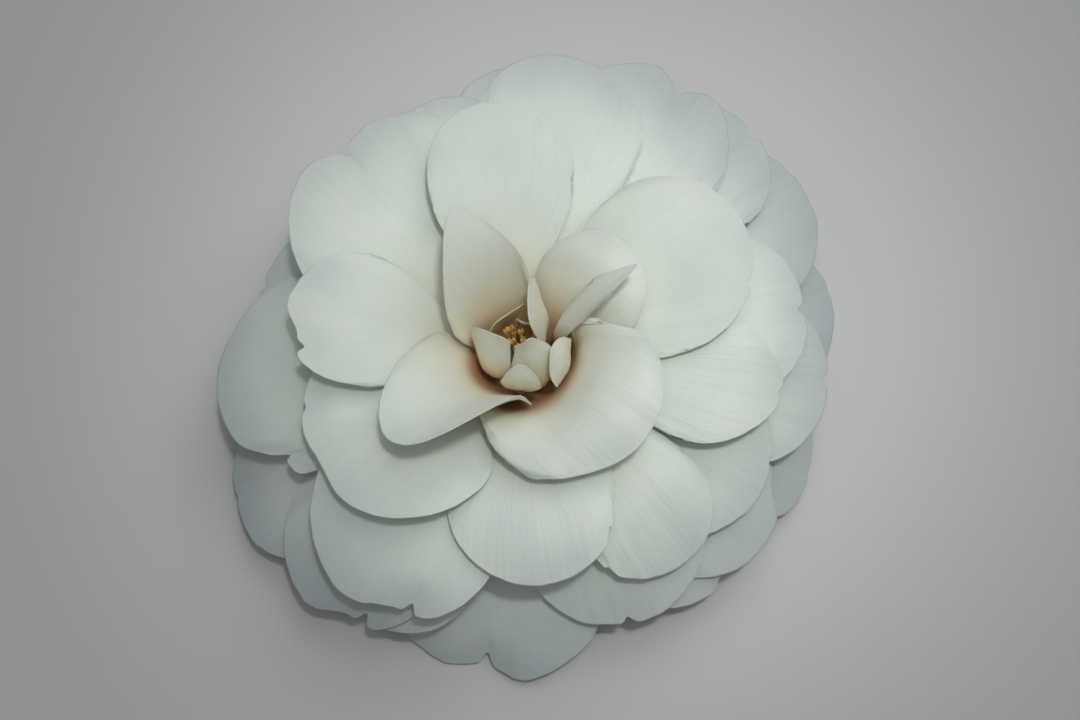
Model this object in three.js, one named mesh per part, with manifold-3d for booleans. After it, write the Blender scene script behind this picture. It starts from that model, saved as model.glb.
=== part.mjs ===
// A white camellia bloom as picked: a formal double flower of overlapping petals in five rows round
// a heart of small upright petaloids and stamens, on a receptacle cupped by its calyx.
// Millimetres, +Z up along the bloom's axis, with the origin in the middle of the flat scar where
// the bloom came off its twig. It rests face up on that scar and on the tips of its lowest petals.
import * as THREE from "three";
import { mergeVertices } from "three/addons/utils/BufferGeometryUtils.js";
import Module from "manifold-3d";

const wasm = await Module();
wasm.setup();

// Driving sizes.
const BLADE = 0.66; // thickness of a petal at its margin
const CLAW_THICKER = 0.2; // what a petal, but no petaloid, gains in thickness at its claw
const AIR = 0.34; // least gap between a petal and the one that it lies on
const SEAT_GAP = 0.3; // gap between a claw and the receptacle
const RECEPTACLE = { radius: 8, rise: 5.5, height: 10 }; // the dome that every petal stands on
const SCAR_RADIUS = 2.6;
const ROWS = 6; // steps from claw to margin on a petal's grid
const COLUMNS = 10; // steps from side to side on a petal's grid
const SLIM = { width: 8, columns: 6 }; // the same on a petaloid or a petal narrower than this
const TIP_SHARE = 0.3; // how much of a pointed margin is its tip

const degrees = THREE.MathUtils.degToRad;
const { clamp, lerp, smoothstep } = THREE.MathUtils;

// Where the rows of petals stand on the dome, as angles up its side, and how wide the claws are.
// apart is the least angle between the claws of a row.
const SEATS = {
  guard: { angle: 3, claw: 3.0, apart: 31 },
  outer: { angle: 17, claw: 3.0, apart: 32 },
  middle: { angle: 31, claw: 3.0, apart: 36 },
  face: { angle: 43, claw: 3.0, apart: 38 },
  inner: { angle: 54, claw: 2.4, apart: 40 },
  petaloid: { angle: 63, claw: 1.6, apart: 38 },
};

const WHITE = new THREE.MeshStandardMaterial({ color: 0xe9ece2, roughness: 0.62, side: THREE.DoubleSide });
const CREAM = new THREE.MeshStandardMaterial({ color: 0xf0e8cf, roughness: 0.6, side: THREE.DoubleSide });
const OCHRE = new THREE.MeshStandardMaterial({ color: 0xc08f3a, roughness: 0.75 });
const SEPAL_GREEN = new THREE.MeshStandardMaterial({ color: 0x6f7a45, roughness: 0.7 });

// The petals from the outermost to the innermost, in the order in which they lie on each other.
// azimuth is the way that a petal points, reach and height are its tip's distance from the axis and
// height over the scar, and width is its greatest width. tip is the slope of its tip in degrees,
// cup the curve across it (positive is hollow above), wrap the curve of its standing part round the
// heart, roll its lean to one side, sway the turn of its tip from its claw. lean tilts its claw in
// towards the axis, spring and droop say how far its rib runs straight on from claw and tip. The
// outline has a shoulder, where it is widest, a wedge shaped foot and a fan of so many degrees each
// way. point is how far the margin is drawn back beside a pointed tip, and notches are [place
// across, depth, width], all in shares of the petal.
const petals = [
  { row: "guard", azimuth: 14, reach: 53.5, height: 0.9, width: 28, tip: -38, cup: -10 },
  { row: "guard", azimuth: 92, reach: 50, height: 0.9, width: 28, tip: -38, cup: -10 },
  { row: "guard", azimuth: 174, reach: 46, height: 0.9, width: 28, tip: -38, cup: -10 },
  {
    row: "guard", azimuth: 263, reach: 50, height: 0.9, width: 37, tip: -36, cup: -12,
    notches: [[0, 0.045, 0.09]],
  },
  { row: "guard", azimuth: 135, reach: 46, height: 3, width: 28, tip: -36, cup: -10 },
  { row: "guard", azimuth: 55, reach: 50, height: 3, width: 27, tip: -36, cup: -10 },
  { row: "guard", azimuth: 207, reach: 51.5, height: 4, width: 27, tip: -34, cup: -14 },
  {
    row: "guard", azimuth: 338, reach: 50, height: 4, width: 27, tip: -32, cup: -10,
    notches: [[-0.4, 0.05, 0.09]],
  },
  { row: "guard", azimuth: 239, reach: 47.5, height: 5, width: 25, tip: -34, cup: -12 },
  {
    row: "guard", azimuth: 311, reach: 47.5, height: 5, width: 25, tip: -32, cup: -10,
    notches: [[0.2, 0.05, 0.09]],
  },

  { row: "outer", azimuth: 157, reach: 45, height: 9, width: 26, tip: -34, cup: -10 },
  { row: "outer", azimuth: 33, reach: 56, height: 9, width: 28, tip: -28, cup: -8 },
  { row: "outer", azimuth: 88, reach: 51, height: 12, width: 26, tip: -26, cup: -8 },
  { row: "outer", azimuth: 106, reach: 46.5, height: 14, width: 27, tip: -26, cup: -8 },
  {
    row: "outer", azimuth: 229, reach: 51, height: 7, width: 29, tip: -32, cup: -14,
    notches: [[0.2, 0.04, 0.09]],
  },
  {
    row: "outer", azimuth: 323, reach: 48.5, height: 9, width: 27, tip: -30, cup: -10,
    notches: [[0.4, 0.05, 0.09]],
  },
  { row: "outer", azimuth: 297, reach: 46, height: 11, width: 29, tip: -30, cup: -12 },
  { row: "outer", azimuth: 355, reach: 50, height: 12, width: 28, tip: -28, cup: -10 },
  { row: "outer", azimuth: 47, reach: 54.5, height: 15, width: 24, tip: -22, cup: -8 },

  { row: "middle", azimuth: 330, reach: 44, height: 17, width: 27, tip: -28, cup: -10 },
  {
    row: "middle", azimuth: 60, reach: 54.5, height: 17, width: 28, tip: -18, cup: -6,
    notches: [[0, 0.04, 0.1]],
  },
  {
    row: "middle", azimuth: 80, reach: 50.5, height: 20, width: 28, tip: -16, cup: -6,
    notches: [[-0.4, 0.02, 0.1]],
  },
  { row: "middle", azimuth: 9, reach: 47, height: 18, width: 28, tip: -24, cup: -6 },
  {
    row: "middle", azimuth: 183, reach: 49, height: 14, width: 34, tip: -30, cup: -14,
    notches: [[0.6, 0.06, 0.1]],
  },
  {
    row: "middle", azimuth: 131, reach: 47, height: 21, width: 38, tip: -16, cup: -6,
    notches: [[0, 0.04, 0.09]],
  },
  {
    row: "middle", azimuth: 235, reach: 47.5, height: 15, width: 34, tip: -30, cup: -16,
    notches: [[0.2, 0.04, 0.09]],
  },

  {
    row: "face", azimuth: 307, reach: 42, height: 20, width: 22, tip: -28, cup: -8,
    notches: [[-0.8, 0.05, 0.1]],
  },
  {
    row: "face", azimuth: 274, reach: 38, height: 23, width: 28, tip: -26, cup: -12,
    notches: [[0.8, 0.05, 0.09]],
  },
  { row: "face", azimuth: 350, reach: 42.5, height: 25, width: 21, tip: -20, cup: -10, point: 0.06 },
  {
    row: "face", azimuth: 211, reach: 38.5, height: 24, width: 36, tip: -28, cup: -16,
    notches: [[0, 0.03, 0.09]],
  },
  {
    row: "face", azimuth: 171, reach: 37.5, height: 29, width: 23, tip: -10, cup: -4,
    notches: [[0.2, 0.04, 0.1]],
  },
  { row: "face", azimuth: 28, reach: 41, height: 30, width: 30, tip: 8, cup: 8 },
  {
    row: "face", azimuth: 97, reach: 39.5, height: 31, width: 24, tip: 14, cup: 14,
    notches: [[-0.2, 0.04, 0.16]],
  },

  { row: "inner", azimuth: 37, reach: 22, height: 35, width: 18, tip: 4, cup: 12 },
  {
    row: "inner", azimuth: 321, reach: 27, height: 30.5, width: 33, sway: 28, tip: -24, cup: -14, wrap: 80,
    lean: -9, spring: 0.62, droop: 0.56, fan: 110, wedge: 1.2,
  },
  {
    row: "inner", azimuth: 220, reach: 30, height: 32.5, width: 25, tip: -12, cup: 46, roll: 14,
    shoulder: 0.42, wedge: 1.2,
  },
  {
    row: "inner", azimuth: 119, reach: 26, height: 36, width: 20, tip: 12, cup: -12, point: 0.14,
    shoulder: 0.5, wedge: 1, sway: -8,
  },
  {
    row: "inner", azimuth: 28, reach: 28, height: 36.5, width: 6, tip: 0, cup: -30, point: 0.16, wave: 0.1,
  },

  {
    row: "petaloid", azimuth: 270, reach: 11.2, height: 31.5, width: 11, tip: 105, cup: 20, roll: 0,
    spring: 0.6, lean: -32, wedge: 3,
  },
  {
    row: "petaloid", azimuth: 338, reach: 9.4, height: 33.5, width: 11, tip: 115, cup: 20, roll: 0,
    spring: 0.6, lean: -26, wedge: 3,
  },
  {
    row: "petaloid", azimuth: 203, reach: 9.6, height: 33.5, width: 17, tip: 108, cup: 20,
    spring: 0.6, lean: -27, wedge: 2.4,
  },
  {
    row: "petaloid", azimuth: 298, reach: 2.2, height: 35.5, width: 15, tip: 155, cup: 30, roll: 0,
    spring: 0.6, lean: -22, wedge: 3,
  },
  {
    row: "petaloid", azimuth: 50, reach: 7.2, height: 37.5, width: 15, tip: 104, cup: 10, roll: -30,
    spring: 0.6, lean: -14, wedge: 3,
  },
  { row: "petaloid", azimuth: 122, reach: 5, height: 32.5, width: 8, tip: 90, cup: 10, wedge: 3 },
  { row: "petaloid", azimuth: 70, reach: 4.6, height: 32.5, width: 5, tip: 95, cup: 10, wedge: 3 },
];

// A point on the dome and the way out from it, in the plane of radius and height.
function seatOf(angle) {
  const at = degrees(angle);
  const out = new THREE.Vector2(Math.cos(at) / RECEPTACLE.radius, Math.sin(at) / RECEPTACLE.rise).normalize();
  const point = new THREE.Vector2(
    RECEPTACLE.radius * Math.cos(at),
    RECEPTACLE.height + RECEPTACLE.rise * Math.sin(at),
  ).addScaledVector(out, SEAT_GAP + 0.1);
  return { point, out };
}

// Turns the claws of a row apart until no two are closer than the row allows.
function spreadClaws(row) {
  const around = petals.filter((petal) => petal.row === row).sort((a, b) => a.azimuth - b.azimuth);
  for (const petal of around) petal.seat = petal.azimuth - (petal.sway ?? 0);
  for (let round = 0; round < 400; round++) {
    around.forEach((petal, i) => {
      const next = around[(i + 1) % around.length];
      const between = next.seat - petal.seat + (i + 1 === around.length ? 360 : 0);
      const short = Math.max(0, SEATS[row].apart - between);
      petal.seat -= short / 2;
      next.seat += short / 2;
    });
  }
}

// The line from claw to tip, in the plane of radius and height.
function ribOf(petal) {
  const { point, out } = petal.from ?? seatOf(SEATS[petal.row].angle);
  out.rotateAround(new THREE.Vector2(), degrees(petal.lean ?? 0));
  const tip = new THREE.Vector2(petal.reach, petal.height);
  const slope = degrees(petal.tip);
  const span = tip.distanceTo(point);
  const rising = point.clone().addScaledVector(out, span * (petal.spring ?? 0.42));
  const falling = tip.clone().sub(
    new THREE.Vector2(Math.cos(slope), Math.sin(slope)).multiplyScalar(span * (petal.droop ?? 0.36)),
  );
  const rib = new THREE.CubicBezierCurve(point, rising, falling, tip);
  rib.arcLengthDivisions = 60;
  return rib;
}

// A petal laid flat: its outline is a fan from a narrow claw to a broad round margin. Across runs
// from -1 to 1 and along from 0 to 1.
function flatPoint(petal, length, along, across) {
  const half = petal.width / 2;
  const claw = (petal.claw ?? SEATS[petal.row].claw) / 2;
  const shoulder = petal.shoulder ?? Math.max(0.5, 1 - (0.95 * half) / length);
  const turn = across * degrees(petal.fan ?? 104);
  let marginX = half * Math.sin(turn);
  let marginY = length * (shoulder + (1 - shoulder) * Math.cos(turn));
  for (const [place, depth, width] of petal.notches ?? []) {
    const cut = 1 - depth * Math.exp(-(((across - place) / width) ** 2));
    marginX *= cut;
    marginY *= cut;
  }
  const drawnBack = (petal.point ?? 0) * (1 - Math.exp(-((across / TIP_SHARE) ** 2)));
  marginY *= 1 - drawnBack;
  const spread = Math.sin((Math.PI / 2) * along ** (petal.wedge ?? 1.7));
  return { x: lerp(claw * across, marginX, spread), y: marginY * along };
}

// A petal's middle surface, as rows of points from claw to margin.
function surfaceOf(petal, rows, columns) {
  const rib = ribOf(petal);
  const length = rib.getLength();
  const bend = degrees(petal.cup ?? 0) / (petal.width / 2);
  const wrap = degrees(petal.wrap ?? 0) / (petal.width / 2);
  const surface = [];
  for (let row = 0; row <= rows; row++) {
    const along = row / rows;
    const line = [];
    for (let column = 0; column <= columns; column++) {
      const across = (2 * column) / columns - 1;
      const flat = flatPoint(petal, length, along, across);
      const share = clamp(flat.y / length, 0, 1);
      const middle = rib.getPointAt(share);
      const ahead = rib.getTangentAt(share);
      const azimuth = degrees(lerp(petal.seat, petal.azimuth, smoothstep(share, -0.2, 0.8)));
      const outward = new THREE.Vector3(Math.cos(azimuth), Math.sin(azimuth), 0);
      const forward = outward.clone().multiplyScalar(ahead.x).setZ(ahead.y);
      const sideways = new THREE.Vector3(-Math.sin(azimuth), Math.cos(azimuth), 0);
      const upward = new THREE.Vector3().crossVectors(forward, sideways);
      const lean = degrees(petal.roll ?? 7) * smoothstep(share, 0, 0.5);
      sideways.applyAxisAngle(forward, lean);
      upward.applyAxisAngle(forward, lean);
      const wrapped = smoothstep(share, 0, 0.25) * (1 - smoothstep(share, 0.3, 0.6));
      const arc = bend * smoothstep(share, 0, 0.6) + wrap * wrapped;
      const aside = Math.abs(arc) < 1e-6 ? flat.x : Math.sin(arc * flat.x) / arc;
      let raised = Math.abs(arc) < 1e-6 ? 0 : (1 - Math.cos(arc * flat.x)) / arc;
      raised += (petal.wave ?? 0.5) * Math.sin(petal.azimuth + 5.5 * across) * along ** 4;
      line.push(
        outward
          .clone()
          .multiplyScalar(middle.x)
          .setZ(middle.y)
          .addScaledVector(sideways, aside)
          .addScaledVector(upward, raised),
      );
    }
    surface.push(line);
  }
  return surface;
}

// The normal of a surface at each of its points, on its upper side.
function normalsOf(surface) {
  const last = surface.length - 1;
  return surface.map((line, i) =>
    line.map((_, j) => {
      const ends = line.length - 1;
      const [ahead, behind] = [surface[Math.min(i + 1, last)][j], surface[Math.max(i - 1, 0)][j]];
      const along = new THREE.Vector3().subVectors(ahead, behind);
      const across = new THREE.Vector3().subVectors(line[Math.min(j + 1, ends)], line[Math.max(j - 1, 0)]);
      return along.cross(across).normalize();
    }),
  );
}

// The pile of petals laid so far. It is kept on a plan in which every petal is folded down flat
// round the dome's centre, and holds how far up each place is filled, as an angle.
const PILE = { reach: 72, cell: 0.5 };
const pileSide = 2 * Math.ceil(PILE.reach / PILE.cell) + 1;
const pile = new Float32Array(pileSide * pileSide).fill(-Math.PI);

function folded(point) {
  const rise = point.z - RECEPTACLE.height;
  const run = Math.hypot(point.x, point.y);
  const away = Math.hypot(run, rise);
  return { x: (point.x / run) * away, y: (point.y / run) * away, away, up: Math.atan2(rise, run) };
}

function unfolded(place, up) {
  const run = place.away * Math.cos(up);
  const azimuth = Math.atan2(place.y, place.x);
  return new THREE.Vector3(
    run * Math.cos(azimuth),
    run * Math.sin(azimuth),
    RECEPTACLE.height + place.away * Math.sin(up),
  );
}

function pileCells(place, around) {
  const middle = (pileSide - 1) / 2;
  const column = Math.round(place.x / PILE.cell) + middle;
  const row = Math.round(place.y / PILE.cell) + middle;
  const cells = [];
  for (let i = row - around; i <= row + around; i++) {
    for (let j = column - around; j <= column + around; j++) cells.push(i * pileSide + j);
  }
  return cells;
}

// How much a thickness laid square to a surface takes up along its angle from the dome's centre.
function slant(point, normal) {
  const run = Math.hypot(point.x, point.y);
  const rise = point.z - RECEPTACLE.height;
  const turn = new THREE.Vector3((-point.x / run) * rise, (-point.y / run) * rise, run).normalize();
  return 1 / Math.max(0.5, Math.abs(turn.dot(normal)));
}

const CLEAR_OF_AXIS = 1.9; // no petal is turned up closer to the axis than this
const SAMPLES = { along: 17, across: 8 };
function* samplesOf(surface) {
  const normals = normalsOf(surface);
  for (let i = 0; i < surface.length - 1; i++) {
    for (let j = 0; j < surface[0].length - 1; j++) {
      for (let a = 0; a <= SAMPLES.along; a++) {
        for (let b = 0; b <= SAMPLES.across; b++) {
          const corners = [[i, j], [i, j + 1], [i + 1, j], [i + 1, j + 1]];
          const [u, v] = [a / SAMPLES.along, b / SAMPLES.across];
          const shares = [(1 - u) * (1 - v), (1 - u) * v, u * (1 - v), u * v];
          const point = new THREE.Vector3();
          const normal = new THREE.Vector3();
          corners.forEach(([r, c], k) => {
            point.addScaledVector(surface[r][c], shares[k]);
            normal.addScaledVector(normals[r][c], shares[k]);
          });
          yield { corners, shares, point, normal: normal.normalize() };
        }
      }
    }
  }
}

// Lays a petal on the pile: it is turned up about the dome's centre just where the petals below
// would cut it, as a sheet drawn over them, and the pile then includes it.
function laid(surface) {
  const turns = surface.map((line) => line.map(() => 0));
  const least = surface.map((line) => line.map(() => -1));
  const samples = [...samplesOf(surface)].map((sample) => {
    const place = folded(sample.point);
    const filled = Math.max(...pileCells(place, 1).map((cell) => pile[cell]));
    const room = (BLADE * 0.5 + AIR) * slant(sample.point, sample.normal);
    return { ...sample, wanted: filled + room / place.away - place.up };
  });
  for (const { corners, shares, wanted } of samples) {
    corners.forEach(([r, c], k) => {
      if (shares[k] >= 0.25) least[r][c] = Math.max(least[r][c], wanted);
    });
  }
  for (let round = 0; round < 80; round++) drape(turns, least);
  for (let round = 0; round < 6; round++) {
    for (const { corners, shares, wanted } of samples) {
      const has = corners.reduce((sum, [r, c], k) => sum + turns[r][c] * shares[k], 0);
      const free = corners.reduce((sum, [r], k) => sum + (r > 0 ? shares[k] : 0), 0);
      if (wanted <= has || free < 0.5) continue;
      for (const [r, c] of corners) if (r > 0) turns[r][c] += ((wanted - has) * 0.7) / free;
    }
  }
  const lifted = surface.map((line, i) =>
    line.map((point, j) => {
      const place = folded(point);
      const most = Math.max(place.up, Math.acos(Math.min(1, CLEAR_OF_AXIS / place.away)));
      return unfolded(place, Math.min(place.up + turns[i][j], most));
    }),
  );
  for (const { point, normal } of samplesOf(lifted)) {
    const place = folded(point);
    const top = place.up + (BLADE * 0.5 * slant(point, normal)) / place.away;
    for (const cell of pileCells(place, 0)) pile[cell] = Math.max(pile[cell], top);
  }
  return lifted;
}

// One step towards the slackest sheet over the least turns, held down at the claw.
function drape(turns, least) {
  const [rows, columns] = [turns.length - 1, turns[0].length - 1];
  const at = (i, j) => turns[clamp(i, 0, rows)][clamp(j, 0, columns)];
  for (let i = 1; i <= rows; i++) {
    for (let j = 0; j <= columns; j++) {
      const around = (at(i - 1, j) + at(i + 1, j) + at(i, j - 1) + at(i, j + 1)) / 4;
      turns[i][j] = Math.max(least[i][j], around);
    }
  }
}

// A closed blade round a middle surface, with its faces split alike above and below.
function bladeOf(surface, margin, thicker) {
  const normals = normalsOf(surface);
  const [lines, points] = [surface.length, surface[0].length];
  const positions = [];
  for (const side of [0.5, -0.5]) {
    surface.forEach((line, i) =>
      line.forEach((point, j) => {
        const thickness = margin + thicker * (1 - i / (lines - 1));
        positions.push(...point.clone().addScaledVector(normals[i][j], side * thickness));
      }),
    );
  }
  const top = (i, j) => i * points + j;
  const under = (i, j) => lines * points + i * points + j;
  const faces = [];
  for (let i = 0; i < lines - 1; i++) {
    for (let j = 0; j < points - 1; j++) {
      faces.push(top(i, j), top(i + 1, j), top(i + 1, j + 1), top(i, j), top(i + 1, j + 1), top(i, j + 1));
      faces.push(under(i, j), under(i + 1, j + 1), under(i + 1, j));
      faces.push(under(i, j), under(i, j + 1), under(i + 1, j + 1));
    }
  }
  const rim = [];
  for (let j = 0; j < points - 1; j++) rim.push([0, j, 0, j + 1]);
  for (let i = 0; i < lines - 1; i++) rim.push([i, points - 1, i + 1, points - 1]);
  for (let j = points - 1; j > 0; j--) rim.push([lines - 1, j, lines - 1, j - 1]);
  for (let i = lines - 1; i > 0; i--) rim.push([i, 0, i - 1, 0]);
  for (const [a, b, c, d] of rim) {
    faces.push(top(a, b), top(c, d), under(c, d), top(a, b), under(c, d), under(a, b));
  }
  return geometryOf(positions, faces);
}

function geometryOf(positions, faces) {
  const geometry = new THREE.BufferGeometry();
  geometry.setAttribute("position", new THREE.Float32BufferAttribute(positions, 3));
  geometry.setIndex(faces);
  geometry.computeVertexNormals();
  return geometry;
}

function meshOf(name, geometry, material) {
  const mesh = new THREE.Mesh(geometry, material);
  mesh.name = name;
  return mesh;
}

// The receptacle with the two rounds of sepals that grow from it, cut flat where it left its twig.
function calyx() {
  const profile = [[0, 0], [SCAR_RADIUS, 0], [2.9, 1], [4.2, 2.4], [6.2, 5.2], [7.6, 8]];
  for (let angle = 0; angle <= 90; angle += 15) {
    const at = degrees(angle);
    profile.push([RECEPTACLE.radius * Math.cos(at), RECEPTACLE.height + RECEPTACLE.rise * Math.sin(at)]);
  }
  const body = new THREE.LatheGeometry(profile.map(([r, z]) => new THREE.Vector2(Math.max(r, 0), z)), 24);
  body.rotateX(Math.PI / 2);
  const sepals = [];
  for (let i = 0; i < 5; i++) {
    const low = { point: new THREE.Vector2(2.6, 2), out: new THREE.Vector2(0.95, 0.31) };
    const high = { point: new THREE.Vector2(5, 4.6), out: new THREE.Vector2(0.9, 0.44) };
    sepals.push(
      { from: low, azimuth: 72 * i + 20, reach: 10.2, height: 6.4, width: 11, tip: 44, cup: 60 },
      { from: high, azimuth: 72 * i + 56, reach: 12.8, height: 8, width: 13, tip: 4, cup: 30 },
    );
  }
  return fused([
    body,
    ...sepals.map((sepal) => {
      sepal.seat = sepal.azimuth;
      return bladeOf(surfaceOf({ ...sepal, claw: 6, roll: 4, wave: 0.2 }, 3, 6), 0.8, 0.4);
    }),
  ]);
}

// The stamens, grown together in a short tube low down, each with its anther. Their heads lean
// towards the opening that the petaloids leave.
const STAMENS = { foot: 15.9, tube: 5, rise: [10.7, 12.5, 9.3, 11.7, 13.3, 10.1, 12.1, 9.7, 12.9] };
function stamens() {
  const { tube, rise } = STAMENS;
  const column = new THREE.CylinderGeometry(0.9, 1.1, tube, 12);
  const pieces = [column.rotateX(Math.PI / 2).translate(0, 0, tube / 2)];
  rise.forEach((height, i) => {
    const around = degrees((360 / rise.length) * i);
    const foot = new THREE.Vector3(0.6 * Math.cos(around), 0.6 * Math.sin(around), 0.4 * tube);
    const spread = 1.3 + 0.3 * Math.sin(5 * i);
    const head = new THREE.Vector3(spread * Math.cos(around) - 0.7, spread * Math.sin(around) + 1.6, height);
    const way = new THREE.Vector3().subVectors(head, foot);
    const upright = new THREE.Vector3(0, 1, 0);
    const turn = new THREE.Quaternion().setFromUnitVectors(upright, way.clone().normalize());
    const middle = foot.clone().lerp(head, 0.5);
    const filament = new THREE.CylinderGeometry(0.3, 0.36, way.length(), 5);
    filament.applyQuaternion(turn).translate(middle.x, middle.y, middle.z);
    const anther = new THREE.SphereGeometry(1, 6, 4).scale(0.5, 0.95, 0.6);
    anther.applyQuaternion(turn).translate(head.x, head.y, head.z);
    pieces.push(filament, anther);
  });
  return fused(pieces);
}

// Closed geometries joined to one closed geometry.
function fused(geometries) {
  const solids = geometries.map((geometry) => {
    geometry.deleteAttribute("normal");
    geometry.deleteAttribute("uv");
    const welded = mergeVertices(geometry, 1e-4);
    const corners = welded.index.array;
    const kept = [];
    for (let i = 0; i < corners.length; i += 3) {
      const [a, b, c] = corners.slice(i, i + 3);
      if (a !== b && b !== c && a !== c) kept.push(a, b, c);
    }
    return new wasm.Manifold(
      new wasm.Mesh({
        numProp: 3,
        vertProperties: new Float32Array(welded.attributes.position.array),
        triVerts: new Uint32Array(kept),
      }),
    );
  });
  const mesh = wasm.Manifold.union(solids).getMesh();
  return geometryOf([...mesh.vertProperties], [...mesh.triVerts]);
}

const bloom = new THREE.Group();
bloom.add(meshOf("calyx", calyx(), SEPAL_GREEN));

// The petals, a group to each row, all about the middle of the dome that they stand on. Each petal
// is made pointing along X and then turned to its azimuth.
for (const row of Object.keys(SEATS)) {
  spreadClaws(row);
  const whorl = new THREE.Group();
  whorl.position.z = RECEPTACLE.height;
  petals
    .filter((petal) => petal.row === row)
    .forEach((petal, i) => {
      const small = row === "petaloid";
      const columns = small || petal.width < SLIM.width ? SLIM.columns : COLUMNS;
      const blade = bladeOf(laid(surfaceOf(petal, ROWS, columns)), BLADE, small ? 0 : CLAW_THICKER);
      blade.translate(0, 0, -RECEPTACLE.height).rotateZ(-degrees(petal.azimuth));
      const kind = small ? "petaloid" : `${row}_petal`;
      const mesh = meshOf(`${kind}_${i + 1}`, blade, small ? CREAM : WHITE);
      mesh.rotation.z = degrees(petal.azimuth);
      whorl.add(mesh);
    });
  bloom.add(whorl);
}

const heart = meshOf("stamens", stamens(), OCHRE);
heart.position.z = STAMENS.foot;
bloom.add(heart);

export default bloom;
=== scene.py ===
import math

import bmesh
import bpy
from mathutils import Matrix, Vector, noise


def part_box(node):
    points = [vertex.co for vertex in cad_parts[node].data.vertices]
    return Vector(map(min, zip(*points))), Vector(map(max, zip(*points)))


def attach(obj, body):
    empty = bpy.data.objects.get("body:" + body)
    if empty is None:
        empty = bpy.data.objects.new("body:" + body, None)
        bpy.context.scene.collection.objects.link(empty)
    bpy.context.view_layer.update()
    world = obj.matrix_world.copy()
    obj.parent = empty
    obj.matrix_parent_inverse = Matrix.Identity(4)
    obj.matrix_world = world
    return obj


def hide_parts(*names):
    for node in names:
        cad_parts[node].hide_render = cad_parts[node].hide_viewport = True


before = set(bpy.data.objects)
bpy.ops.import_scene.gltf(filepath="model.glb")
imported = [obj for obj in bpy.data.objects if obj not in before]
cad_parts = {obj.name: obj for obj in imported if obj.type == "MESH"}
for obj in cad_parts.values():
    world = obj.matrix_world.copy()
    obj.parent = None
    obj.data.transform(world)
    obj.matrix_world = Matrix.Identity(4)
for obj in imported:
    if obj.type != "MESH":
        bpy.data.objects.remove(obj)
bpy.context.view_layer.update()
scene = bpy.context.scene
heartTop = max(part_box(name)[1].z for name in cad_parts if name.startswith("petaloid"))
print("frame loaded with", len(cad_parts), "nodes")


# Camera and lights

viewSettings = {
    "lens": 85,
    "elevation": 78,
    "distance": 0.39,
    "aim": (0.00306, -0.00374, 0.0352),
}


def placeCamera():
    data = bpy.data.cameras.new("camera")
    data.lens = viewSettings["lens"]
    data.sensor_width = 36
    data.clip_start = 0.01
    camera = bpy.data.objects.new("camera", data)
    tilt = math.radians(90 - viewSettings["elevation"])
    back = Vector((0, -math.sin(tilt), math.cos(tilt))) * viewSettings["distance"]
    camera.location = Vector(viewSettings["aim"]) + back
    camera.rotation_euler = (tilt, 0, 0)
    scene.collection.objects.link(camera)
    scene.camera = camera


lightSettings = {
    # name: place, size and power of the soft boxes
    "boxes": {
        "key": ((0.30, 0.50, 0.93), 1.0, 3.8),
        "top": ((0.0, -0.1, 0.9), 0.5, 0.8),
        "front": ((-0.3, -0.8, 0.6), 0.8, 0.3),
    },
    # a wide soft spot on the heart of the bloom
    "spot": ((0.10, 0.02, 0.94), 0.06, 23.0),
    "spotAngle": 8.0,
    "aim": (0.014, 0.010, 0.02),
    "lampColour": (0.98, 1.0, 0.97),
    "worldColour": (0.85, 0.92, 1.0),
    "worldStrength": 0.10,
}


def placeLamp(name, kind, place, power):
    data = bpy.data.lights.new(name, kind)
    data.energy = power
    data.color = lightSettings["lampColour"]
    lamp = bpy.data.objects.new(name, data)
    lamp.location = place
    lamp.rotation_euler = (Vector(lightSettings["aim"]) - lamp.location).to_track_quat("-Z", "Y").to_euler()
    scene.collection.objects.link(lamp)
    return data


def placeLights():
    for name, (place, size, power) in lightSettings["boxes"].items():
        box = placeLamp(name, "AREA", place, power)
        box.shape = "DISK"
        box.size = size
    place, radius, power = lightSettings["spot"]
    spot = placeLamp("spot", "SPOT", place, power)
    spot.shadow_soft_size = radius
    spot.spot_size = math.radians(lightSettings["spotAngle"])
    spot.spot_blend = 1
    world = bpy.data.worlds.new("studio")
    world.use_nodes = True
    background = world.node_tree.nodes["Background"]
    background.inputs["Color"].default_value = (*lightSettings["worldColour"], 1)
    background.inputs["Strength"].default_value = lightSettings["worldStrength"]
    scene.world = world
    scene.view_settings.view_transform = "Standard"  # whites stay as light as they are


# A small kit for finishes: a wire is one output socket, and sums on wires add the nodes for them.
# A finish is one material, whose methods add its other nodes.

class Wire:
    def __init__(self, finish, socket):
        self.finish = finish
        self.socket = socket

    def maths(self, operation, *values):
        return self.finish.node("ShaderNodeMath", {"operation": operation}, dict(enumerate(values)))

    def __add__(self, other):
        return self.maths("ADD", self, other)

    def __sub__(self, other):
        return self.maths("SUBTRACT", self, other)

    def __rsub__(self, other):
        return self.maths("SUBTRACT", other, self)

    def __mul__(self, other):
        return self.maths("MULTIPLY", self, other)

    def __pow__(self, other):
        return self.maths("POWER", self, other)

    def most(self, other):
        return self.maths("MAXIMUM", self, other)

    __radd__ = __add__
    __rmul__ = __mul__


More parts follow.
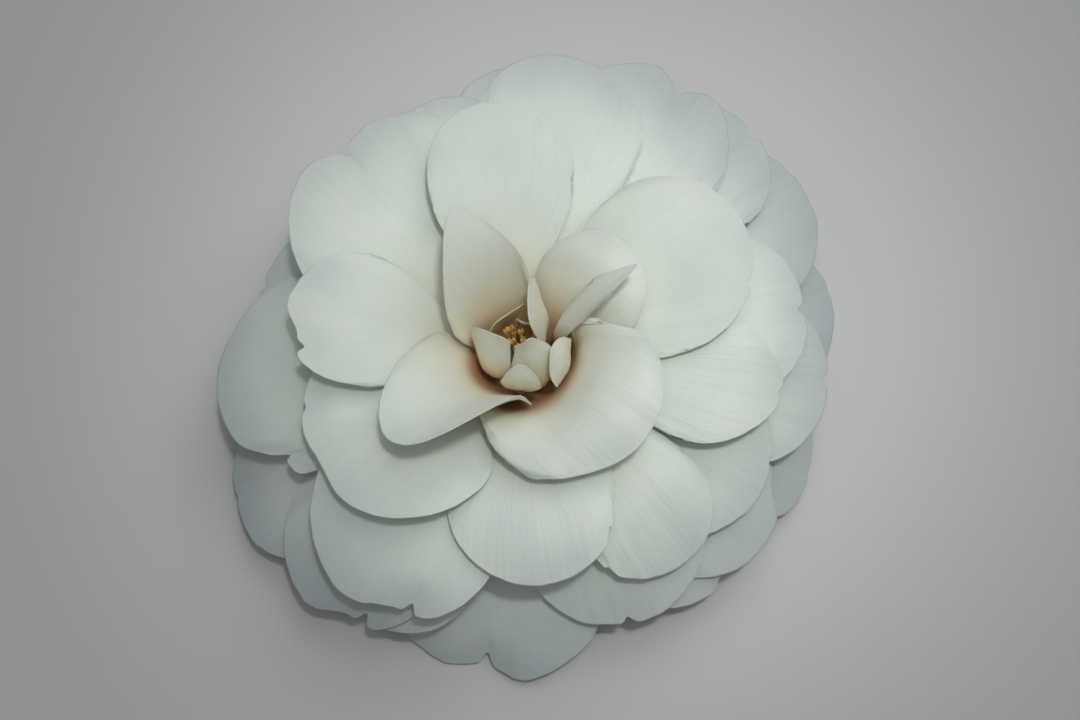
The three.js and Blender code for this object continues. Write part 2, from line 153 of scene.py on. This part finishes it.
class Finish:
    def __init__(self, name, **constants):
        self.material = bpy.data.materials.new(name)
        self.material.use_nodes = True
        self.tree = self.material.node_tree
        self.shader = self.tree.nodes["Principled BSDF"]
        for socket, value in constants.items():
            self.shader.inputs[socket].default_value = value

    def node(self, kind, settings=None, inputs=None, output=0):
        made = self.tree.nodes.new(kind)
        for name, value in (settings or {}).items():
            setattr(made, name, value)
        for name, value in (inputs or {}).items():
            self.join(value, made.inputs[name])
        return Wire(self, made.outputs[output])

    def join(self, value, socket):
        if isinstance(value, Wire):
            self.tree.links.new(value.socket, socket)
        else:
            socket.default_value = value

    def feed(self, socket, value):
        self.join(value, self.shader.inputs[socket])

    def place(self):
        return self.node("ShaderNodeTexCoord", output="Object")

    def parts(self, vector):
        return [self.node("ShaderNodeSeparateXYZ", None, {0: vector}, axis) for axis in range(3)]

    def spread(self):
        return self.node("ShaderNodeUVMap", {"uv_map": "spread"})

    def scaled(self, vector, scale):
        return self.node("ShaderNodeMapping", None, {"Vector": vector, "Scale": scale})

    def cloud(self, vector, scale, detail=2.0, roughness=0.5):
        values = {"Vector": vector, "Scale": scale, "Detail": detail, "Roughness": roughness}
        return self.node("ShaderNodeTexNoise", None, values, "Fac")

    # Rises smoothly from 0 at start to 1 at end, and fade falls the same way
    def step(self, value, start, end):
        settings = {"interpolation_type": "SMOOTHSTEP"}
        values = {"Value": value, "From Min": start, "From Max": end}
        return self.node("ShaderNodeMapRange", settings, values)

    def fade(self, value, start, end):
        return 1 - self.step(value, start, end)

    def blend(self, factor, first, second):
        first, second = [c if isinstance(c, Wire) else (*c, 1) for c in (first, second)]
        return self.node("ShaderNodeMix", {"data_type": "RGBA"}, {0: factor, 6: first, 7: second}, 2)

    def bump(self, height, distance, strength, under=None):
        inputs = {"Height": height, "Distance": distance, "Strength": strength}
        if under:
            inputs["Normal"] = under
        return self.node("ShaderNodeBump", None, inputs)


def awayFrom(x, y, centre):
    return ((x - centre[0]) ** 2 + (y - centre[1]) ** 2) ** 0.5


# Puts a mesh into the scene as the piece that stands for one node of the frame
def finished(bm, name, paint, node):
    for face in bm.faces:
        face.smooth = True
    mesh = bpy.data.meshes.new(name)
    bm.to_mesh(mesh)
    bm.free()
    piece = bpy.data.objects.new(name, mesh)
    scene.collection.objects.link(piece)
    mesh.materials.append(paint)
    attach(piece, "root")
    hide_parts(node)
    return piece


# Petals' finish: white, with tints that are placed by how far out from the axis and how far below the
# heart's top they lie. The grey on the outer petals and the peach, ochre, brown and gold deep in the heart
# are painted shade and glow.

petalFinish = {
    "white": (0.83, 0.88, 0.80),
    "cool": (0.70, 0.77, 0.73),
    # painted shade: grey for the outer petals, most at the lower left
    "shadeGrey": (0.45, 0.50, 0.53),
    "cream": (0.87, 0.82, 0.64),
    # painted light: peach for the warm glow and shade deep round the heart
    "peachGlow": (0.86, 0.70, 0.48),
    # painted shade: ochre and brown for the creases deep in the heart
    "gold": (0.74, 0.53, 0.22),
    # painted shade: gold-brown for the well round the stamens
    "ochre": (0.66, 0.36, 0.15),
    "brown": (0.32, 0.12, 0.04),
    # how much of each tint there is where it is strongest
    "clouds": 0.6,
    "streaks": 0.2,
    # shares of the painted shade on the outer petals, and of the extra at the lower left
    "outerShadeShare": 0.65,
    "lowerLeftShadeShare": 0.3,
    "footCream": 0.7,
    "heartCream": 0.45,
    "peachGlowShare": 0.45,
    # shares of the painted shade in the creases and in the well
    "creaseShadeOchre": 0.75,
    "creaseShadeBrown": 0.8,
    "wellShadeGold": 0.6,
    # where each tint starts and ends, in metres
    # reaches of the painted shade, out from the axis and towards the lower left
    "outerShadeReach": (0.034, 0.055),
    "lowerLeftShadeReach": (-0.025, -0.065),
    "creamReach": (0.007, 0.024),
    # where the painted peach glow lies, out from the axis and below the heart's top
    "peachGlowReach": (0.006, 0.016),
    "peachGlowDepth": (0.004, 0.012),
    # where the painted crease shade lies, how deep it begins, and how much paler it is behind the heart
    "creaseShadeCentre": (0.001, -0.0008),
    "creaseShadeReach": (0.0084, 0.0106),
    "ochreShadeDepth": (0.010, 0.016),
    "brownShadeDepth": (0.013, 0.019),
    "backShadeReach": (0.0, 0.008),
    "backShadeShare": 0.75,  # how much paler the creases behind the heart are
    # where the painted shade in the well of the stamens lies
    "wellShadeCentre": (-0.0007, 0.0020),
    "wellShadeReach": (0.0024, 0.0050),
    "wellShadeDepth": (0.0, 0.006),
    # clouds to the metre, streaks across and along a petal, and the heights of veins and grain in metres
    "cloudScale": 70,
    "streakScale": (46, 2.2, 1),
    "fineStreakScale": (130, 4, 1),
    "veinHeight": 0.00025,
    "fineVeinHeight": 0.00008,
    "grainHeight": 0.00002,
    "roughness": 0.5,
}


def petalColour(f, creamAlong, creaseShadeShare, streaks):
    tint = petalFinish
    place = f.place()
    x, y, z = f.parts(place)
    _, along, _ = f.parts(f.spread())
    away = awayFrom(x, y, (0, 0))
    deep = heartTop - z
    # slow clouds and streaks of cooler white, and painted shade: grey on the outer petals, more towards the
    # lower left
    clouds = f.step(f.cloud(place, tint["cloudScale"], 2), 0.35, 0.7)
    colour = f.blend(clouds * tint["clouds"], tint["white"], tint["cool"])
    streaked = f.step(streaks, 0.42, 0.66) * f.step(along, 0.2, 0.8)
    colour = f.blend(streaked * tint["streaks"], colour, tint["cool"])
    lowerLeftShade = f.step(x + y, *tint["lowerLeftShadeReach"])
    shadeGrey = f.step(away, *tint["outerShadeReach"]) * (tint["outerShadeShare"] + lowerLeftShade * tint["lowerLeftShadeShare"])
    colour = f.blend(shadeGrey, colour, tint["shadeGrey"])
    # cream at the foot, and painted warm glow and shade in peach deep round the heart
    foot = f.fade(along, 0.1, creamAlong) * tint["footCream"]
    heart = f.fade(away, *tint["creamReach"]) * tint["heartCream"]
    colour = f.blend(foot.most(heart), colour, tint["cream"])
    peachGlow = f.fade(away, *tint["peachGlowReach"]) * f.step(deep, *tint["peachGlowDepth"])
    colour = f.blend(peachGlow * tint["peachGlowShare"], colour, tint["peachGlow"])
    # painted shade: ochre and brown in the creases deep in the heart, and gold in the well of the stamens
    creaseShade = f.fade(awayFrom(x, y, tint["creaseShadeCentre"]), *tint["creaseShadeReach"]) * creaseShadeShare
    creaseShade = creaseShade * (1 - f.step(y, *tint["backShadeReach"]) * tint["backShadeShare"])
    colour = f.blend(f.step(deep, *tint["ochreShadeDepth"]) * creaseShade * tint["creaseShadeOchre"], colour, tint["ochre"])
    colour = f.blend(f.step(deep, *tint["brownShadeDepth"]) * creaseShade * tint["creaseShadeBrown"], colour, tint["brown"])
    wellShade = f.fade(awayFrom(x, y, tint["wellShadeCentre"]), *tint["wellShadeReach"])
    return f.blend(wellShade * f.step(deep, *tint["wellShadeDepth"]) * tint["wellShadeGold"], colour, tint["gold"])


def paintPetal(name, creamAlong, creaseShadeShare):
    f = Finish(name, **{
        "Subsurface Weight": 0.3,
        "Subsurface Radius": (1.0, 0.85, 0.6),
        "Subsurface Scale": 0.0018,
        "Specular IOR Level": 0.35,
        "Sheen Weight": 0.08,
    })
    place = f.place()
    _, along, _ = f.parts(f.spread())
    # long streaks and veins that fan out from the claw to the margin
    streaks = f.cloud(f.scaled(f.spread(), petalFinish["streakScale"]), 1, 3, 0.6)
    fineStreaks = f.cloud(f.scaled(f.spread(), petalFinish["fineStreakScale"]), 1, 2, 0.6)
    f.feed("Base Color", petalColour(f, creamAlong, creaseShadeShare, streaks))
    f.feed("Roughness", petalFinish["roughness"] + 0.12 * (f.cloud(place, 400) - 0.5))
    veins = f.bump(streaks * f.step(along, 0.1, 0.9), petalFinish["veinHeight"], 0.5)
    fineVeins = f.bump(fineStreaks, petalFinish["fineVeinHeight"], 0.5, veins)
    f.feed("Normal", f.bump(f.cloud(place, 2600, 2), petalFinish["grainHeight"], 0.5, fineVeins))
    return f.material


# Petals: the upper face of each blade is read as rows of places, and a fine sheet is laid through them

rowSettings = {
    # row of petals: columns and rows of its sheets, notch, nicks and ripples in metres, how far along the
    # petal its cream reaches, and how much of the painted shade in the heart's creases it takes
    "guard": dict(grid=(96, 40), notch=0.0023, nick=0.00045, ripple=0.00030, cream=0.55, creaseShade=0.2),
    "outer": dict(grid=(96, 40), notch=0.0021, nick=0.00040, ripple=0.00028, cream=0.6, creaseShade=0.2),
    "middle": dict(grid=(96, 40), notch=0.0018, nick=0.00034, ripple=0.00024, cream=0.65, creaseShade=0.3),
    "face": dict(grid=(84, 40), notch=0.0012, nick=0.00026, ripple=0.00020, cream=0.75, creaseShade=0.7),
    "inner": dict(grid=(72, 40), notch=0.0, nick=0.00014, ripple=0.00012, cream=0.9, creaseShade=1.0),
    "petaloid": dict(grid=(36, 36), notch=0.0, nick=0.00008, ripple=0.00006, cream=1.1, creaseShade=1.0),
}
sheetSettings = {
    "dome": (0, 0, 0.010),  # centre of the dome that the claws stand on
    "strips": 6,  # strips of faces from claw to margin on the frame's blades
    "wall": 0.00042,
    "marginWall": 0.35,  # share of the wall left at the margin
    "evenings": 2,  # how often crumples are evened, and how far each time
    "evening": 0.4,
    "crowding": 1.4,  # above 1, rows and columns draw together towards the margins
    "gather": 0.1,  # how far columns are drawn together at the notch
    "clearNotch": 0.0005,  # depth of a notch in a blade from which the sheet follows it
    "notchRange": (0.3, 0.7),
    "notchSway": 0.2,  # how far from the middle a notch without one in the blade may lie
    "notchWidth": 0.0008,
    "fold": 0.45,  # how deep the fold behind a notch is, as a share of it
    "foldWidth": 0.004,
    "scallops": 140,  # waves along a metre of margin
    "nicks": 620,
    "nickShare": 0.45,
    # share of the height, waves across, waves along and shift of each size of ripple
    "ripples": ((1.6, 5, 1.2, 0), (0.8, 13, 1.6, 3), (0.48, 34, 2.2, 5)),
    "seed": 7,
    "seedStep": 3.7,
}


def slopeFromDome(vert):
    out = vert.co - Vector(sheetSettings["dome"])
    return math.atan2(out.z, math.hypot(out.x, out.y))


def distanceFromDome(vert):
    return (vert.co - Vector(sheetSettings["dome"])).length


def faceAcross(face, one, other):
    edge = next(e for e in one.link_edges if e.other_vert(one) is other)
    return next(f for f in edge.link_faces if f is not face)


def thirdVert(face, one, other):
    return next(v for v in face.verts if v is not one and v is not other)


# A blade's only corners with four edges are two at its claw and two at its margin. From the upper
# one at the claw the walk steps from triangle to triangle, strip by strip up to the margin.
def rowsOf(name):
    bm = bmesh.new()
    bm.from_mesh(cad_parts[name].data)
    bmesh.ops.remove_doubles(bm, verts=bm.verts, dist=1e-6)
    bmesh.ops.recalc_face_normals(bm, faces=bm.faces)
    strips = sheetSettings["strips"]
    columns = len(bm.verts) // (2 * (strips + 1)) - 1
    claw = sorted((v for v in bm.verts if len(v.link_edges) == 4), key=distanceFromDome)[:2]
    under, corner = sorted(claw, key=slopeFromDome)
    face = max(corner.link_faces, key=lambda f: f.normal.dot(corner.co - under.co))
    beside, above = sorted((v for v in face.verts if v is not corner), key=distanceFromDome)
    lower, rows = [corner, beside], []
    for strip in range(strips):
        upper = [above]
        for j in range(columns):
            face = faceAcross(face, lower[j + 1], upper[j])
            upper.append(thirdVert(face, lower[j + 1], upper[j]))
            if j == 0:
                firstFace = face
            if j < columns - 1:
                face = faceAcross(face, lower[j + 1], upper[j + 1])
                lower.append(thirdVert(face, lower[j + 1], upper[j + 1]))
        rows.append([vert.co.copy() for vert in lower])
        if strip < strips - 1:
            face = faceAcross(firstFace, upper[0], upper[1])
            above = thirdVert(face, upper[0], upper[1])
            lower = upper[:2]
    rows.append([vert.co.copy() for vert in upper])
    bm.free()
    return rows


# Takes crumples out of the rows: each place moves square to the petal towards the middle of its
# neighbours, in its row or, at the sides, along them
def evened(rows):
    last, ends = len(rows) - 1, len(rows[0]) - 1
    for _ in range(sheetSettings["evenings"]):
        before = [list(line) for line in rows]
        for i in range(1, last + 1):
            for j in range(ends + 1):
                if 0 < j < ends:
                    middle = (before[i][j - 1] + before[i][j + 1]) / 2
                elif i < last:
                    middle = (before[i - 1][j] + before[i + 1][j]) / 2
                else:
                    continue
                along = before[min(i + 1, last)][j] - before[i - 1][j]
                across = before[i][min(j + 1, ends)] - before[i][max(j - 1, 0)]
                up = across.cross(along).normalized()
                rows[i][j] = before[i][j] + up * up.dot(middle - before[i][j]) * sheetSettings["evening"]
    return rows


# A smooth curve through all the places, read at shares of its length from 0 to 1
def smoothLine(places, shares):
    first, last = 2 * places[0] - places[1], 2 * places[-1] - places[-2]
    knots = [first, *places, last]
    line = []
    for share in shares:
        at = share * (len(places) - 1)
        k = min(int(at), len(places) - 2)
        t = at - k
        a, b, c, d = knots[k:k + 4]
        bend = (3 * b - 3 * c + d - a) * t * t * t + (2 * a - 5 * b + 4 * c - d) * t * t + (c - a) * t
        line.append(b + bend / 2)
    return line


def smoothStep(value, start, end):
    t = min(max((value - start) / (end - start), 0), 1)
    return t * t * (3 - 2 * t)


def wave(x, y, shift):
    return noise.noise(Vector((x, y, shift)))


# Draws rows together towards the margin, so that its rounding stays as fine as its wall
def crowded(share):
    return 1 - (1 - share) ** sheetSettings["crowding"]


# The same for columns, towards both sides
def crowdedTwice(share):
    side = 2 * share - 1
    return (1 + math.copysign(crowded(abs(side)), side)) / 2


# Draws columns together round a notch, and keeps both ends where they are
def gathered(share, centre):
    def sway(at):
        return math.sin(2 * math.pi * (at - centre))
    return share - sheetSettings["gather"] * (sway(share) - sway(0))


# A bell that is 1 in the middle and low at its width
def bell(away, width):
    return math.exp(-(away / width) ** 2)


# The notch in a blade's margin: its share of the way across, and its depth in metres, 0 without one
def notchOf(margin, below):
    place, depth = 0.5, 0
    for j in range(1, len(margin) - 1):
        along = (margin[j] - below[j]).normalized()
        dip = ((margin[j - 1] + margin[j + 1]) / 2 - margin[j]).dot(along)
        if dip > depth:
            place, depth = j / (len(margin) - 1), dip
    return place, depth


# The fine shape of one petal over shares from side to side and from claw to margin. Where the blade
# has a notch the sheet's is there too, and otherwise a place and a depth are drawn for it.
class PetalShape:
    def __init__(self, row, shift, rows):
        self.row = rowSettings[row]
        self.shift = shift
        place, depth = notchOf(rows[-1], rows[-2])
        clear = smoothStep(depth, 0, sheetSettings["clearNotch"])
        if clear < 0.5:
            place = 0.5 + sheetSettings["notchSway"] * wave(shift, 0.5, 1)
        else:
            least, most = sheetSettings["notchRange"]
            place = min(max(place, least), most)
        drawn = 0.15 + 0.5 * smoothStep(wave(shift, 7.3, 2), -0.25, 0.1)
        self.notch = self.row["notch"] * max(clear, drawn)
        columns, lines = self.row["grid"]
        self.columns, self.lines = columns, lines
        self.shares = [gathered(crowdedTwice(j / columns), place) for j in range(columns + 1)]
        self.heights = [crowded(i / lines) for i in range(lines + 1)]
        self.notchAt = gathered(place, place)
        coarse = [smoothLine(line, self.shares) for line in rows]
        self.places = [smoothLine(column, self.heights) for column in zip(*coarse)]
        tips = [column[-1] for column in self.places]
        self.width = sum((tips[j + 1] - tips[j]).length for j in range(columns))

    def fromNotch(self, across):
        return (across - self.notchAt) * self.width

    # What is cut from the tip: the notch, slow scallops and small nicks
    def tipCut(self, across, along):
        metres = across * self.width
        cut = self.notch * bell(self.fromNotch(across), sheetSettings["notchWidth"])
        scallop = 0.5 + wave(metres * sheetSettings["scallops"], 3, self.shift)
        nick = 0.5 + wave(metres * sheetSettings["nicks"], 5, self.shift)
        cut += self.row["nick"] * (scallop + sheetSettings["nickShare"] * nick)
        return cut * smoothStep(along, 0.8, 1)

    def sideCut(self, across, along):
        side = 2 * across - 1
        cut = self.row["nick"] * (0.5 + wave(along * 7, 9 * side, self.shift))
        fade = smoothStep(abs(side), 0.75, 1) * smoothStep(along, 0.3, 0.6)
        return math.copysign(cut, side) * fade

    # How the face rises in ripples that grow from the claw to the margin, and falls in the notch's fold
    def lift(self, across, along):
        broad, middling, fine = [
            share * wave(across * acrossWaves, along * alongWaves, self.shift + apart)
            for share, acrossWaves, alongWaves, apart in sheetSettings["ripples"]
        ]
        ripples = (broad + middling + fine * smoothStep(along, 0.5, 1)) * smoothStep(along, 0.15, 1)
        fold = bell(self.fromNotch(across), sheetSettings["foldWidth"]) * smoothStep(along, 0.8, 1)
        return self.row["ripple"] * ripples - self.notch * sheetSettings["fold"] * fold

    def wallShare(self, across, along):
        nearTip = smoothStep(along, 0.85, 1)
        nearSide = smoothStep(abs(2 * across - 1), 0.85, 1) * smoothStep(along, 0.2, 0.4)
        return 1 - (1 - sheetSettings["marginWall"]) * max(nearTip, nearSide)

    # A place on the fine sheet, in column j and row i
    def placeAt(self, j, i):
        across, along = self.shares[j], self.heights[i]
        column = self.places[j]
        right, left = self.places[min(j + 1, self.columns)], self.places[max(j - 1, 0)]
        alongWay = (column[min(i + 1, self.lines)] - column[max(i - 1, 0)]).normalized()
        acrossWay = (right[i] - left[i]).normalized()
        up = acrossWay.cross(alongWay).normalized()
        cut = alongWay * self.tipCut(across, along) + acrossWay * self.sideCut(across, along)
        return column[i] - cut + up * self.lift(across, along)


def petalSheet(name, row, shift):
    shape = PetalShape(row, shift, evened(rowsOf(name)))
    bm = bmesh.new()
    spread = bm.loops.layers.uv.new("spread")
    wall = bm.verts.layers.deform.verify()
    bmesh.ops.create_grid(bm, x_segments=shape.columns, y_segments=shape.lines, size=1, calc_uvs=True)
    bm.verts.index_update()
    for vert in bm.verts:
        i, j = divmod(vert.index, shape.columns + 1)
        vert.co = shape.placeAt(j, i)
        vert[wall][0] = shape.wallShare(shape.shares[j], shape.heights[i])
        for loop in vert.link_loops:
            loop[spread].uv = (shape.shares[j], shape.heights[i])
    piece = finished(bm, "fine_" + name, petalPaint[row], name)
    piece.vertex_groups.new(name="wall")
    body = piece.modifiers.new("wall", "SOLIDIFY")
    body.thickness = sheetSettings["wall"]
    body.offset = -1
    body.vertex_group = "wall"


petalPaint = {row: paintPetal(row + "_petal", settings["cream"], settings["creaseShade"])
              for row, settings in rowSettings.items()}
for number, name in enumerate(sorted(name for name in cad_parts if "petal" in name)):
    petalSheet(name, name.split("_")[0], sheetSettings["seed"] + sheetSettings["seedStep"] * number)
print("petals laid")


# Stamens: a short tube, and nine threads that bow out of it with an anther of two lobes on each

stamenSettings = {
    "foot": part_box("stamens")[0].z,
    "tube": 0.005,
    "tubeRadii": (0.0011, 0.0009),
    # heights of the nine heads over the tube's foot
    "rise": (0.0107, 0.0125, 0.0093, 0.0117, 0.0133, 0.0101, 0.0121, 0.0097, 0.0129),
    "lean": (-0.0007, 0.0016, 0),
    "footAt": 0.4,  # share of the tube's height where the threads start
    "footRing": 0.0006,
    "headRing": 0.0013,
    "headSway": 0.0003,
    "thread": (0.00036, 0.00024),  # radii at foot and head
    "bow": 0.0003,
    "bowReach": 1.5,  # how close round a thread things bow with it, in radii of its foot
    "lobe": (0.00032, 0.00046, 0.00092),  # half width, depth and height of a lobe
    "lobeApart": 0.8,
    "brown": (0.55, 0.36, 0.12),
    "yellow": (0.78, 0.58, 0.22),
    "pollen": (0.66, 0.36, 0.08),
    "yellowFrom": (0.020, 0.028),  # heights between which brown turns to yellow
    "pollenFrom": (0.0235, 0.0255),
}


def paintStamens():
    settings = stamenSettings
    f = Finish("stamen_yellow", **{
        "Specular IOR Level": 0.3,
        "Subsurface Weight": 0.15,
        "Subsurface Scale": 0.001,
    })
    _, _, z = f.parts(f.place())
    colour = f.blend(f.step(z, *settings["yellowFrom"]), settings["brown"], settings["yellow"])
    pollen = f.step(f.cloud(f.place(), 2200, 3), 0.4, 0.62) * f.step(z, *settings["pollenFrom"])
    f.feed("Base Color", f.blend(pollen, colour, settings["pollen"]))
    f.feed("Roughness", 0.6 + 0.2 * f.cloud(f.place(), 900))
    f.feed("Normal", f.bump(f.cloud(f.place(), 3200, 3), 0.00012, 0.7))
    return f.material


# A thread from foot to head: a cone cut across, which bows out with all that lies close round it
def addThread(bm, foot, head, radii, bow):
    way = head - foot
    turn = way.to_track_quat("Z", "Y").to_matrix().to_4x4()
    place = Matrix.Translation((foot + head) / 2) @ turn
    made = bmesh.ops.create_cone(
        bm, cap_ends=True, segments=10, radius1=radii[0], radius2=radii[1], depth=way.length, matrix=place)
    long = dict.fromkeys(e for v in made["verts"] for e in v.link_edges if e.calc_length() > way.length / 2)
    bmesh.ops.subdivide_edges(bm, edges=list(long), cuts=5, use_grid_fill=True)
    out = Vector((head.x, head.y, 0)).normalized()
    for vert in bm.verts:
        share = (vert.co - foot).dot(way) / way.length_squared
        off = vert.co - foot - way * share
        if 0 < share < 1 and off.length < radii[0] * stamenSettings["bowReach"]:
            vert.co += out * bow * math.sin(math.pi * share)


def addAnther(bm, head, way, settings):
    turn = way.to_track_quat("Z", "Y").to_matrix().to_4x4()
    for side in (-1, 1):
        shift = Matrix.Translation((side * settings["lobe"][0] * settings["lobeApart"], 0, 0))
        shape = Matrix.Diagonal((*settings["lobe"], 1))
        place = Matrix.Translation(head) @ turn @ shift @ shape
        bmesh.ops.create_uvsphere(bm, u_segments=14, v_segments=10, radius=1, matrix=place)


def onRing(radius, around, height):
    return Vector((radius * math.cos(around), radius * math.sin(around), height))


def makeStamens():
    settings = stamenSettings
    low, tube = settings["foot"], settings["tube"]
    lowRadius, highRadius = settings["tubeRadii"]
    bm = bmesh.new()
    middle = Matrix.Translation((0, 0, low + tube / 2))
    bmesh.ops.create_cone(
        bm, cap_ends=True, segments=32, radius1=lowRadius, radius2=highRadius, depth=tube, matrix=middle)
    for i, rise in enumerate(settings["rise"]):
        around = 2 * math.pi * i / len(settings["rise"])
        headRing = settings["headRing"] + settings["headSway"] * math.sin(5 * i)
        foot = onRing(settings["footRing"], around, low + settings["footAt"] * tube)
        head = onRing(headRing, around, low + rise) + Vector(settings["lean"])
        addThread(bm, foot, head, settings["thread"], settings["bow"] * math.cos(3 * i))
        addAnther(bm, head, head - foot, settings)
    bmesh.ops.recalc_face_normals(bm, faces=bm.faces)
    finished(bm, "fine_stamens", paintStamens(), "stamens")


makeStamens()
print("stamens made")


# Calyx: the frame's own node, green, and ochre on the dome inside its sepals, which is partly the dome's own
# pale top and partly painted shade deep in the heart

calyxFinish = {
    "green": (0.14, 0.22, 0.05),
    "paleGreen": (0.26, 0.32, 0.10),
    # the dome's ochre: partly its own pale top, partly painted shade
    "dome": (0.62, 0.44, 0.22),
    "domeFrom": (0.0105, 0.0125),
    "domeReach": (0.0076, 0.0084),
}


def paintCalyx():
    settings = calyxFinish
    f = Finish("sepal_green", **{"Specular IOR Level": 0.4})
    x, y, z = f.parts(f.place())
    patches = f.step(f.cloud(f.place(), 220, 3), 0.3, 0.7)
    green = f.blend(patches, settings["green"], settings["paleGreen"])
    # ochre on the dome's top: its own pale colour and painted shade together
    domeColourAndShade = f.step(z, *settings["domeFrom"]) * f.fade(awayFrom(x, y, (0, 0)), *settings["domeReach"])
    f.feed("Base Color", f.blend(domeColourAndShade, green, settings["dome"]))
    f.feed("Roughness", 0.5 + 0.15 * f.cloud(f.place(), 500))
    f.feed("Normal", f.bump(f.cloud(f.place(), 700), 0.0001, 0.5))
    return f.material


calyxPaint = paintCalyx()
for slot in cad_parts["calyx"].material_slots:
    slot.material = calyxPaint
print("calyx painted")


# Floor, camera and lights

floorSettings = {
    "size": 6.0,
    "colour": (0.70, 0.70, 0.69),
    "shade": (0.62, 0.62, 0.61),
    "shadeShare": 0.1,
}


def layFloor():
    settings = floorSettings
    bm = bmesh.new()
    bmesh.ops.create_grid(bm, x_segments=1, y_segments=1, size=settings["size"] / 2)
    mesh = bpy.data.meshes.new("floor")
    bm.to_mesh(mesh)
    bm.free()
    floor = bpy.data.objects.new("floor", mesh)
    scene.collection.objects.link(floor)
    f = Finish("floor_paper", **{"Specular IOR Level": 0.2})
    mesh.materials.append(f.material)
    clouds = f.cloud(f.place(), 30) * settings["shadeShare"]
    f.feed("Base Color", f.blend(clouds, settings["colour"], settings["shade"]))
    f.feed("Roughness", 0.85 + 0.05 * f.cloud(f.place(), 60))


layFloor()
placeCamera()
placeLights()
print("floor, camera and lights set")
